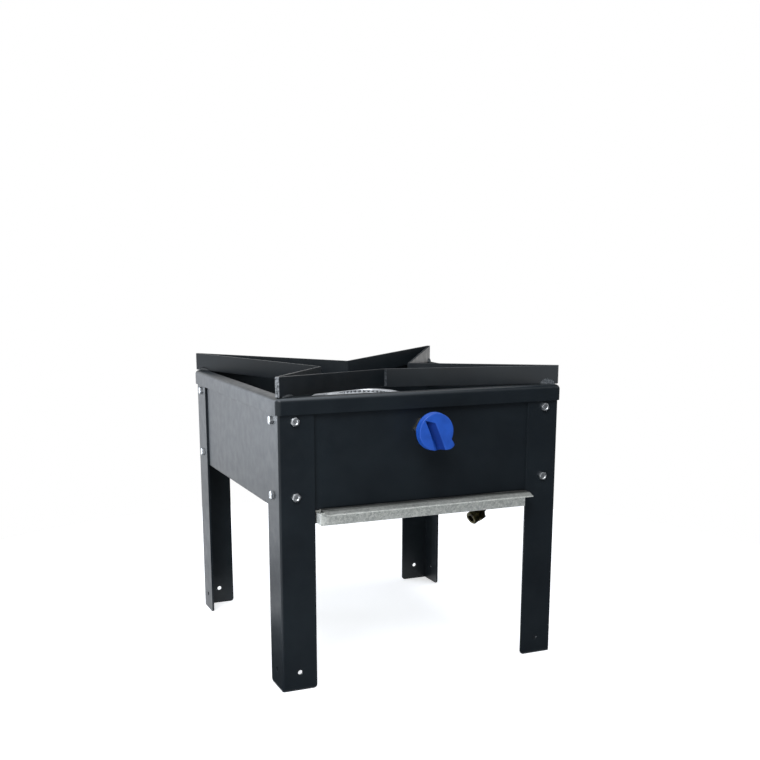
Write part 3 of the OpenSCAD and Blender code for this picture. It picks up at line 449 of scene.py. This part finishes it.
def placed(points, origin, out, spin=0.0):
    """Points whose z runs along out from origin, turned by spin about it."""
    out = Vector(out).normalized()
    turn = out.to_track_quat("Z", "Y").to_matrix() @ Matrix.Rotation(spin, 3, "Z")
    return points @ np.array(turn).T + np.asarray(origin, float)


def bolt_places():
    """Each corner bolt's place on a leg's face and the way that it points."""
    for z in BOLT_ZS:
        for side in (-1, 1):
            for end in (-1, 1):
                yield (side * (HALF_W - BOLT_IN_FRONT), end * HALF_D, z), (0, end, 0)
                yield (side * HALF_W, end * (HALF_D - BOLT_IN_SIDE), z), (side, 0, 0)


def bolts():
    """The heads with their shanks, and the nuts, each turned at random about its axis."""
    heads, nuts = [], []
    shank = threaded(BOLT_R, BOLT_PITCH, -(LEG_T + PANEL_T + NUT_H + BOLT_END), 0.2)
    for place, out in bolt_places():
        spin = rng.uniform(0, math.pi / 3)
        heads.append((placed(hex_head(BOLT_AF, BOLT_HEAD), place, out, spin), True))
        heads.append((placed(shank, place, out), True))
        back = np.asarray(place) - np.asarray(out, float) * (LEG_T + PANEL_T)
        nuts.append((placed(hex_head(BOLT_AF, NUT_H), back, [-c for c in out], spin), True))
    return heads, nuts


bolt_heads, bolt_nuts = bolts()
put("corner_bolts_finish", grid_mesh("corner_bolts_finish", bolt_heads), "corner_bolts")
put("corner_nuts_finish", grid_mesh("corner_nuts_finish", bolt_nuts), "corner_nuts")


def smooth(x):
    """0 to 1 along a soft step as x goes from 0 to 1."""
    x = np.clip(x, 0, 1)
    return x * x * (3 - 2 * x)


def swell(angle):
    """How many times as far the knob reaches in a direction: 1, and more at the pointer's nose,
    in a soft rise over 38 degrees and a soft fall over 11, which ends 13 degrees past it."""
    off = np.degrees((angle - NOSE_TURN + np.pi) % (2 * np.pi) - np.pi)
    return 1 + NOSE_SWELL * smooth((off + 40) / 38) * smooth((13 - off) / 11)


def from_end_wall(u, v):
    """How far a point of the groove lies from its slanting end wall: its distance along from
    the wall's foot times the wall's cosine, less its distance across from the sharp edge times
    the wall's sine."""
    return END_WALL_COS * (u - GROOVE_END) - END_WALL_SIN * (v - GROOVE_RIGHT)


def knob_height(u, v):
    """The knob's crowned height less the groove's depth, which is the least of four: a long
    slope down from the sharp right edge, a steep rise to the left edge that softens toward the
    open end, the slanting end wall, and a floor that gets shallower toward the rim."""
    soft = 2.6 + 6.0 * smooth((u + 4) / 22)
    slope = (GROOVE_RIGHT - v) * 0.68
    rise = 1.12 * GROOVE_DEPTH * smooth((v - GROOVE_LEFT + 0.45 * (soft - 2.6)) / soft * 0.8)
    end = from_end_wall(u, v) * 2.2
    floor_depth = GROOVE_DEPTH - 2.4 * smooth((u - 15) / 7)
    depth = np.minimum(np.minimum(slope, rise), np.minimum(end, floor_depth))
    crown = CROWN * (1 - np.clip(np.hypot(u, v) / 22.0, 0, 1) ** 2)
    return KNOB_DEPTH - CROWN + crown - np.clip(depth, 0, None)


def knob_sheets():
    """The knob: its face is a scan of lines across a disc, laid along the finger groove and
    pushed out to the pointer's nose by a share that grows from 12 mm off the middle to the
    face's edge. The side goes round that edge in rings, each a radius and a height, and a last
    set of rings makes the hub with its bore."""
    face_r, plain_r = KNOB_R - 2.2, 12.0
    left, right = GROOVE_LEFT, GROOVE_RIGHT
    v = np.concatenate([
        face_r * np.sin(np.linspace(-np.pi / 2, math.asin((left - 2.4) / face_r), 24)),
        np.linspace(left - 2.1, left + 3.2, 24), np.linspace(left + 3.7, right - 0.5, 12),
        [right - 0.12, right + 0.12],
        face_r * np.sin(np.linspace(math.asin((right + 0.6) / face_r), np.pi / 2, 26))])
    half = np.sqrt(np.clip(face_r ** 2 - v ** 2, 0, None))
    u = np.linspace(-1, 1, 121)[None, :] * half[:, None]
    v_all = np.repeat(v[:, None], u.shape[1], 1)
    x = u * math.cos(KNOB_TURN) - v_all * math.sin(KNOB_TURN)
    y = u * math.sin(KNOB_TURN) + v_all * math.cos(KNOB_TURN)
    share = np.clip((np.hypot(x, y) - plain_r) / (face_r - plain_r), 0, 1)
    push = 1 + (swell(np.arctan2(y, x)) - 1) * share
    face = np.stack([x * push, y * push, knob_height(u, v_all)], -1)

    # the face's edge in order, round which the rings go
    edge_u = np.concatenate([u[:, -1], u[::-1, 0][1:-1]])
    edge_v = np.concatenate([v, v[::-1][1:-1]])
    angle = np.arctan2(edge_v, edge_u) + KNOB_TURN
    top = knob_height(edge_u, edge_v)
    side = [(face_r * swell(angle), top)]
    for out, z in [(0.9, KNOB_DEPTH - 0.35), (1.5, KNOB_DEPTH - 1.2), (1.7, KNOB_DEPTH - 2.6),
                   (1.9, 3.9), (2.25, 3.3), (2.3, 0.9), (1.6, 0.0), (-3.0, 0.0)]:
        side.append(((face_r + out) * swell(angle), np.minimum(z, top - 0.15 * (z > 1))))
    hub = [(12.0, 0.0), (HUB_R, 0.0), (HUB_R, 1.0 - HUB_LEN), (HUB_R - 0.8, -HUB_LEN),
           (STEM_BORE_R, -HUB_LEN), (STEM_BORE_R, 2.0), (0.0, 2.0)]
    return [(face, False), (rings(angle, side + hub), True)]


def knob():
    """The knob's mesh in its place, and its "groove" attribute, 0 to 1, the groove's painted shade:
    soft steps from the sharp edge, from the left edge, where the step widens toward the open
    end, and from the end wall, multiplied, and 0 on the last millimetre of the knob's depth."""
    upright = np.array(Matrix.Rotation(math.pi / 2, 3, "X")).T
    back = np.array([0, KNOB_FACE_Y + KNOB_DEPTH, VALVE_Z])
    mesh = grid_mesh("knob_finish", [(points @ upright + back, wrap)
                                     for points, wrap in knob_sheets()], 40)
    spots = np.empty(len(mesh.vertices) * 3)
    mesh.vertices.foreach_get("co", spots)
    x, y, z = (spots.reshape(-1, 3) / MM - np.array([0, KNOB_FACE_Y, VALVE_Z])).T
    u = x * math.cos(KNOB_TURN) + z * math.sin(KNOB_TURN)
    v = z * math.cos(KNOB_TURN) - x * math.sin(KNOB_TURN)
    widen = smooth(u / 18)
    shade = (smooth((GROOVE_RIGHT - v) / 0.9)
             * smooth((v - GROOVE_LEFT + widen) / (1.0 + 3.5 * widen))
             * smooth(from_end_wall(u, v) / 0.9) * (y < KNOB_DEPTH - 1))
    mesh.attributes.new("groove", "FLOAT", "POINT").data.foreach_set("value", shade)
    return mesh


put("knob_finish", knob(), "knob")

# beads unlike the rest, by number: times as tall, times as long, and mm further to the right.
# The front right one is high and near the tip, and the two front left ones are low.
ODD_BEADS = {0: (0.6, 1.0, 0.0), 1: (1.65, 0.9, 3.0), 4: (0.6, 1.0, 0.0)}
RIPPLE = 2.2


def weld_beads():
    """A bead over each fillet between a bar and the rim: an ellipse round the corner's line whose
    radii go as the root of 1 - t * t along it, t from -1 to 1, times a ripple every 2.2 mm. Its
    length beyond the fillet, height and width are drawn at random, in that order, in mm."""
    source = frame["nodes"]["rim_welds"].data
    points = np.empty(len(source.vertices) * 3)
    source.vertices.foreach_get("co", points)
    points = np.unique(np.round(points.reshape(-1, 3) / MM, 2), axis=0)
    t = np.sin(np.linspace(-np.pi / 2, np.pi / 2, 61))
    around = np.linspace(0, 2 * np.pi, 24, endpoint=False)
    c, s = np.cos(around)[None, :], np.sin(around)[None, :]
    flat, upward = np.array([1, 1, 0]), np.array([0, 0, 1.0])
    for bead in range(8):
        # its corner of the stove, and whether it lies nearer to the side than to the front or back
        sx, sy, steep = (-1, 1)[bead & 1], (-1, 1)[bead >> 1 & 1], bead >> 2
        mine = points[(points[:, 0] * sx > 0) & (points[:, 1] * sy > 0)
                      & ((np.abs(points[:, 0]) > np.abs(points[:, 1])) == bool(steep))]
        top = mine[mine[:, 2] > RIM_TOP + 1]
        first, last = top[0], top[-1]
        run = (last - first) * flat
        length = np.linalg.norm(run)
        run /= length
        low = mine[mine[:, 2] < RIM_TOP + 1] - first
        side = low - (low @ run)[:, None] * run
        out = side[np.argmax(np.hypot(side[:, 0], side[:, 1]))] * flat
        out /= np.linalg.norm(out)
        middle = (first + last) / 2 * flat + RIM_TOP * upward
        taller, longer, shift = ODD_BEADS.get(bead, (1.0, 1.0, 0.0))
        half = (length / 2 + rng.uniform(1.0, 3.0)) * longer
        tall, wide = rng.uniform(4.6, 6.0) * taller, rng.uniform(3.2, 4.0)
        ripple = 1 + 0.1 * np.cos(2 * np.pi * t * half / RIPPLE + bead)
        size = (np.sqrt(np.clip(1 - t * t, 0, None)) * ripple)[:, None]
        across = size * c * wide * np.where(c > 0, 1, 0.4)
        up = size * s * tall * np.where(s > 0, 1, 0.15)
        yield (middle + (t * half + shift)[:, None, None] * run + across[..., None] * out
               + up[..., None] * upward), True


put("rim_welds_finish", grid_mesh("rim_welds_finish", list(weld_beads()), 50), "rim_welds", WELD)

for end in ("front", "rear"):
    for side in ("left", "right"):
        softened("leg_" + end + "_" + side, 0.5)
for side in ("front", "rear", "left", "right"):
    softened(side + "_panel", 0.3, angle=40)
softened("top_rim", 0.3, angle=40, mat=PAINTED_FOLD_HIGHLIGHT)
for side in ("front_left", "front_right", "rear_left", "rear_right",
             "left_front", "left_rear", "right_front", "right_rear"):
    softened("star_bar_" + side, 0.5, mat=RUBBED)
for node in ("cross_bar", "drip_tray"):
    softened(node, 0.2)
# the runners take the panels' black coat instead of their galvanised slot, as painted shade for the
# dark under the panels
for node in ("runner_left", "runner_right"):
    softened(node, 0.2, mat=FINISH["black"])
softened("star_welds", 0.2, mat=WELD)
for node in ("runner_rivets", "pipe_clip", "head_screw", "air_shutter", "shutter_clip",
             "burner_screws", "valve_stem", "valve_body", "injector", "union_nut", "supply_pipe",
             "burner_bowl", "burner_head"):
    softened(node, 0)
softened("inlet_fitting", 0, mat=TARNISHED)
softened("valve_locknut", 0, mat=BRASS_PAINTED_GLINTS)


def crease():
    """The tray's fold stands 0.6 mm proud along its length: a round bar of 1.3 mm radius that is
    sunk into it, carried straight from one end of the lip to the other, with both ends closed."""
    low, high = (Vector(c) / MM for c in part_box("drip_tray"))
    around = np.linspace(0, 2 * np.pi, 24, endpoint=False)
    ring = 1.3 * np.stack([0 * around, np.cos(around), np.sin(around)], -1)
    ends = [(low.x + 0.3, 0.0), (low.x + 0.3, 1.0), (high.x - 0.3, 1.0), (high.x - 0.3, 0.0)]
    return np.stack([np.array([x, TRAY_FOLD_Y, high.z - 0.7]) + share * ring for x, share in ends])


# the crease falls in the lip's painted shade, so it shows near black, as the dark seam between the
# panel and the lip
put("drip_tray_crease", grid_mesh("drip_tray_crease", [(crease(), True)]), "drip_tray")


# ---------------------------------------------------------------- studio

# The camera that the photograph's straight edges give; the place is in metres
AZIMUTH, ELEVATION, ROLL = math.radians(22.84), math.radians(12.52), math.radians(-0.08)
CAMERA_AT = Vector((-0.5935, -1.4185, 0.5354))
FOCAL_PX, CENTRE_PX, FRAME_PX = 1054.1, (368.0, 501.7), 760

# Lamps: place and aim in metres, width and height, radiance, tint, whether gloss shows them
STOVE = (0, 0, 0.3)
DAYLIGHT = "#f7faff"
LAMPS = {
    "key": ((-0.9, -1.5, 2.1), STOVE, (1.2, 1.2), 9.0, DAYLIGHT, True),
    "overhead": ((0.5, 0.0, 2.2), STOVE, (0.7, 0.7), 8.0, DAYLIGHT, False),
    "left_back": ((-1.35, 1.5, 0.6), STOVE, (1.2, 1.5), 3.9, "#e6f1ff", True),
    "low_fill": ((-0.9, -0.7, 0.12), (-0.1, -0.2, 0.22), (0.3, 0.2), 18.0, DAYLIGHT, False),
}
# Black cloths, which only gloss sees: place and aim in metres, width and height
FLAGS = {
    "front_right_flag": ((0.85, -1.75, 0.45), STOVE, (2.2, 2.1)),
    "back_flag": ((0.9, 1.25, 0.75), (0, 0, 0.38), (1.0, 0.9)),
    "floor_cloth": ((0.4, -0.8, 0.002), (0.4, -0.8, -1.0), (1.5, 1.8)),
    "left_cloth": ((-0.37, 0.3, 0.002), (-0.37, 0.3, -1.0), (0.16, 0.3)),
    "right_flag": ((1.2, -0.35, 0.25), STOVE, (0.8, 0.8)),
    "ceiling_cloth": ((1.25, -0.3, 2.15), (1.25, -0.3, 0.0), (1.2, 1.6)),
}


def camera():
    """The photograph's camera; its shift puts the lens's centre at CENTRE_PX of the frame."""
    look = Vector((math.sin(AZIMUTH) * math.cos(ELEVATION),
                   math.cos(AZIMUTH) * math.cos(ELEVATION), -math.sin(ELEVATION)))
    right = Vector((math.cos(AZIMUTH), -math.sin(AZIMUTH), 0))
    up = right.cross(look)
    c, s = math.cos(ROLL), math.sin(ROLL)
    right, up = right * c + up * s, up * c - right * s
    data = bpy.data.cameras.new("camera")
    made = stand("camera", data)
    made.matrix_world = Matrix((right, up, -look)).transposed().to_4x4()
    made.location = CAMERA_AT
    data.sensor_fit = "HORIZONTAL"
    data.sensor_width = 36
    data.lens = FOCAL_PX / FRAME_PX * data.sensor_width
    data.shift_x = (FRAME_PX / 2 - CENTRE_PX[0]) / FRAME_PX
    data.shift_y = (CENTRE_PX[1] - FRAME_PX / 2) / FRAME_PX
    data.clip_start, data.clip_end = 0.01, 50
    bpy.context.scene.camera = made


def lamp(name, at, to, size, radiance, tint, glossy):
    """A soft square lamp whose face shines with that radiance, and which the camera doesn't see."""
    data = bpy.data.lights.new(name, "AREA")
    data.shape = "RECTANGLE"
    data.size, data.size_y = size
    data.energy = radiance * size[0] * size[1] * math.pi
    data.color = colour(tint)[:3]
    made = stand(name, data)
    made.location = at
    made.rotation_mode = "QUATERNION"
    made.rotation_quaternion = (Vector(to) - Vector(at)).to_track_quat("-Z", "Y")
    made.visible_camera = False
    made.visible_glossy = glossy


def bare(owner):
    """The emptied node tree of a material or of the world."""
    owner.use_nodes = True
    owner.node_tree.nodes.clear()
    return owner.node_tree


def seen_white(tree):
    """1 for the rays that show the background: the camera's, a gloss and a see-through one."""
    path = add(tree, "LightPath").outputs
    some = add(tree, "Math", {0: path["Is Camera Ray"], 1: path["Is Glossy Ray"]},
               operation="MAXIMUM")
    return add(tree, "Math", {0: some, 1: path["Is Transmission Ray"]}, operation="MAXIMUM")


def surroundings():
    """A white room, which lights matt surfaces less than it shows."""
    world = bpy.context.scene.world = bpy.data.worlds.new("room")
    tree = bare(world)
    room = add(tree, "Background", {"Color": colour("#eef4ff"), "Strength": 0.45})
    white = add(tree, "Background", {"Color": grey(1.0), "Strength": 1.0})
    add(tree, "OutputWorld",
        {"Surface": add(tree, "MixShader", {0: seen_white(tree), 1: room, 2: white})})


def floor():
    """A pale disc of floor: white where it is lit, with the stove's shadow kept."""
    mesh = grid_mesh("floor", [(turned([0, 550, 900], [0, 0, 0], 96), True)])
    mat = bpy.data.materials.new("pale_floor")
    tree = bare(mat)
    matt = add(tree, "BsdfDiffuse", {"Color": grey(0.8)})
    glow = add(tree, "Emission", {"Color": grey(1.0), "Strength": 0.6})
    lit = add(tree, "AddShader", {0: matt, 1: glow})
    add(tree, "OutputMaterial",
        {"Surface": add(tree, "MixShader", {0: seen_white(tree), 1: matt, 2: lit})})
    mesh.materials.append(mat)
    stand("floor", mesh)


def black_cloth():
    """Matt black cotton, which gives back hardly any light."""
    mat = bpy.data.materials.new("black_cloth")
    tree = bare(mat)
    add(tree, "OutputMaterial", {"Surface": add(tree, "BsdfDiffuse", {"Color": grey(0.02)})})
    return mat


def flag(name, at, to, size, cloth):
    """A black cloth that keeps the white room out of one side's reflections."""
    w, h = size[0] / 2, size[1] / 2
    turn = (Vector(to) - Vector(at)).to_track_quat("-Z", "Y").to_matrix().to_4x4()
    corners = [Matrix.Translation(at) @ turn @ Vector((x, y, 0))
               for x, y in ((-w, -h), (w, -h), (w, h), (-w, h))]
    mesh = bpy.data.meshes.new(name)
    mesh.from_pydata(corners, [], [(0, 1, 2, 3)])
    mesh.materials.append(cloth)
    made = stand(name, mesh)
    made.visible_camera = made.visible_shadow = made.visible_diffuse = False


camera()
floor()
surroundings()
for name, facts in LAMPS.items():
    lamp(name, *facts)
cloth = black_cloth()
for name, facts in FLAGS.items():
    flag(name, *facts, cloth)
bpy.context.scene.view_settings.view_transform = "Standard"
